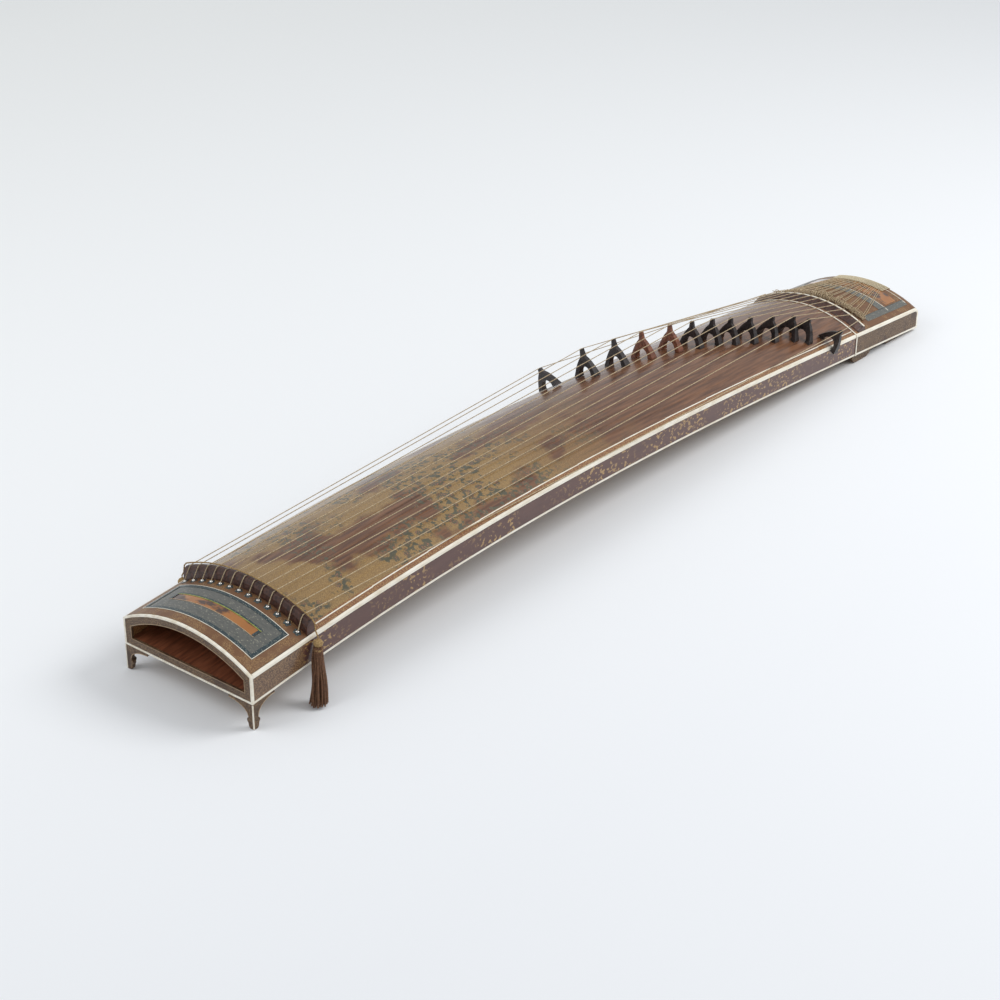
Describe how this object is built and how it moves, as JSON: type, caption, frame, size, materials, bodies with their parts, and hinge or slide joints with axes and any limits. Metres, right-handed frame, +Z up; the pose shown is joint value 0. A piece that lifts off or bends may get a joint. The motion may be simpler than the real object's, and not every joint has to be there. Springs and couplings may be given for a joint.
{
  "type": "koto",
  "caption": "Long arched zither with a hollow body, movable bridges under tensioned strings, bracket feet, inlaid end panels and a tassel on each side.",
  "frame": {"origin": "on the floor, under the middle of the length and width", "axes": "+X from the head to the tail, +Y to the far side as the player sees it, +Z up"},
  "size_m": [1.82, 0.3198, 0.1708],
  "materials": {
    "dark_wood": "satin",
    "deck": "satin",
    "ebony": "satin",
    "gold_lacquer": "gold lacquer",
    "inlay": "inlaid",
    "ivory": "satin",
    "lacquer": "gloss lacquer",
    "plain_wood": "matt",
    "red_wood": "satin",
    "silk": "twisted cord",
    "speckled_lacquer": "gold speckled lacquer",
    "tassel_silk": "twisted cord",
    "tortoiseshell": "polished"
  },
  "bodies": {
    "root": {"body_shell": "deck", "back_board": "plain_wood", "brace_head": "plain_wood", "brace_tail": "plain_wood", "tail_block": "plain_wood", "head_trim": "ivory", "mouth_frame": "speckled_lacquer", "mouth_floor": "red_wood", "mouth_tongue": "red_wood", "side_panel_near": "lacquer", "tail_side_near": "speckled_lacquer", "base_strip_near": "ivory", "edge_strip_near": "ivory", "side_panel_far": "lacquer", "tail_side_far": "speckled_lacquer", "base_strip_far": "ivory", "edge_strip_far": "ivory", "forehead_panel": "gold_lacquer", "head_inlay": "inlay", "head_tortoiseshell": "tortoiseshell", "head_ridge": "dark_wood", "tail_ridge": "dark_wood", "tail_ridge_strip": "ivory", "tail_band": "ivory", "tail_panel": "gold_lacquer", "tail_tortoiseshell": "tortoiseshell", "front_leg_near": "speckled_lacquer", "front_leg_far": "speckled_lacquer", "rear_foot": "speckled_lacquer", "string_01": "silk", "string_02": "silk", "string_03": "silk", "string_04": "silk", "string_05": "silk", "string_06": "silk", "string_07": "silk", "string_08": "silk", "string_09": "silk", "string_10": "silk", "string_11": "silk", "string_12": "silk", "string_13": "silk", "tassel_cord": "silk", "string_coils": "silk", "string_band": "silk"},
    "bridge_01": {"bridge_01": "ebony"},
    "bridge_02": {"bridge_02": "ebony"},
    "bridge_03": {"bridge_03": "ebony"},
    "bridge_04": {"bridge_04": "red_wood"},
    "bridge_05": {"bridge_05": "red_wood"},
    "bridge_06": {"bridge_06": "ebony"},
    "bridge_07": {"bridge_07": "ebony"},
    "bridge_08": {"bridge_08": "ebony"},
    "bridge_09": {"bridge_09": "ebony"},
    "bridge_10": {"bridge_10": "ebony"},
    "bridge_11": {"bridge_11": "ebony"},
    "bridge_12": {"bridge_12": "ebony"},
    "bridge_13": {"bridge_13": "ebony"},
    "tassel_near": {"tassel_near": "tassel_silk"},
    "tassel_far": {"tassel_far": "tassel_silk"}
  },
  "joints": [
    {"name": "bridge_01_slide", "type": "slide", "parent": "root", "child": "bridge_01", "axis": [0.9992, 0, -0.0409], "range_m": [-0.02, 0.02], "deforming": ["string_01"]},
    {"name": "bridge_02_slide", "type": "slide", "parent": "root", "child": "bridge_02", "axis": [0.9989, 0, -0.0463], "range_m": [-0.02, 0.02], "deforming": ["string_02"]},
    {"name": "bridge_03_slide", "type": "slide", "parent": "root", "child": "bridge_03", "axis": [0.9986, 0, -0.052], "range_m": [-0.02, 0.0195], "deforming": ["string_03"]},
    {"name": "bridge_04_slide", "type": "slide", "parent": "root", "child": "bridge_04", "axis": [0.9984, 0, -0.0564], "range_m": [-0.0195, 0.02], "deforming": ["string_04"]},
    {"name": "bridge_05_slide", "type": "slide", "parent": "root", "child": "bridge_05", "axis": [0.9982, 0, -0.0606], "range_m": [-0.02, 0.0125], "deforming": ["string_05"]},
    {"name": "bridge_06_slide", "type": "slide", "parent": "root", "child": "bridge_06", "axis": [0.998, 0, -0.0634], "range_m": [-0.0125, 0.01], "deforming": ["string_06"]},
    {"name": "bridge_07_slide", "type": "slide", "parent": "root", "child": "bridge_07", "axis": [0.9978, 0, -0.0656], "range_m": [-0.01, 0.007], "deforming": ["string_07"]},
    {"name": "bridge_08_slide", "type": "slide", "parent": "root", "child": "bridge_08", "axis": [0.9977, 0, -0.0673], "range_m": [-0.007, 0.0095], "deforming": ["string_08"]},
    {"name": "bridge_09_slide", "type": "slide", "parent": "root", "child": "bridge_09", "axis": [0.9976, 0, -0.0691], "range_m": [-0.0095, 0.0135], "deforming": ["string_09"]},
    {"name": "bridge_10_slide", "type": "slide", "parent": "root", "child": "bridge_10", "axis": [0.9975, 0, -0.0711], "range_m": [-0.0135, 0.0125], "deforming": ["string_10"]},
    {"name": "bridge_11_slide", "type": "slide", "parent": "root", "child": "bridge_11", "axis": [0.9973, 0, -0.0728], "range_m": [-0.0125, 0.0035], "deforming": ["string_11"]},
    {"name": "bridge_12_slide", "type": "slide", "parent": "root", "child": "bridge_12", "axis": [0.9973, 0, -0.0737], "range_m": [-0.0035, 0.0137], "deforming": ["string_12"]},
    {"name": "bridge_13_slide", "type": "slide", "parent": "root", "child": "bridge_13", "axis": [0.9972, 0, -0.0751], "range_m": [-0.0137, 0.02], "deforming": ["string_13"]},
    {"name": "tassel_near_swing", "type": "hinge", "parent": "root", "child": "tassel_near", "pos_m": [-0.789, -0.13547, 0.08432], "axis": [1, 0, 0], "range_deg": [-35, 0]},
    {"name": "tassel_far_swing", "type": "hinge", "parent": "root", "child": "tassel_far", "pos_m": [-0.789, 0.13547, 0.08432], "axis": [1, 0, 0], "range_deg": [0, 35]}
  ]
}
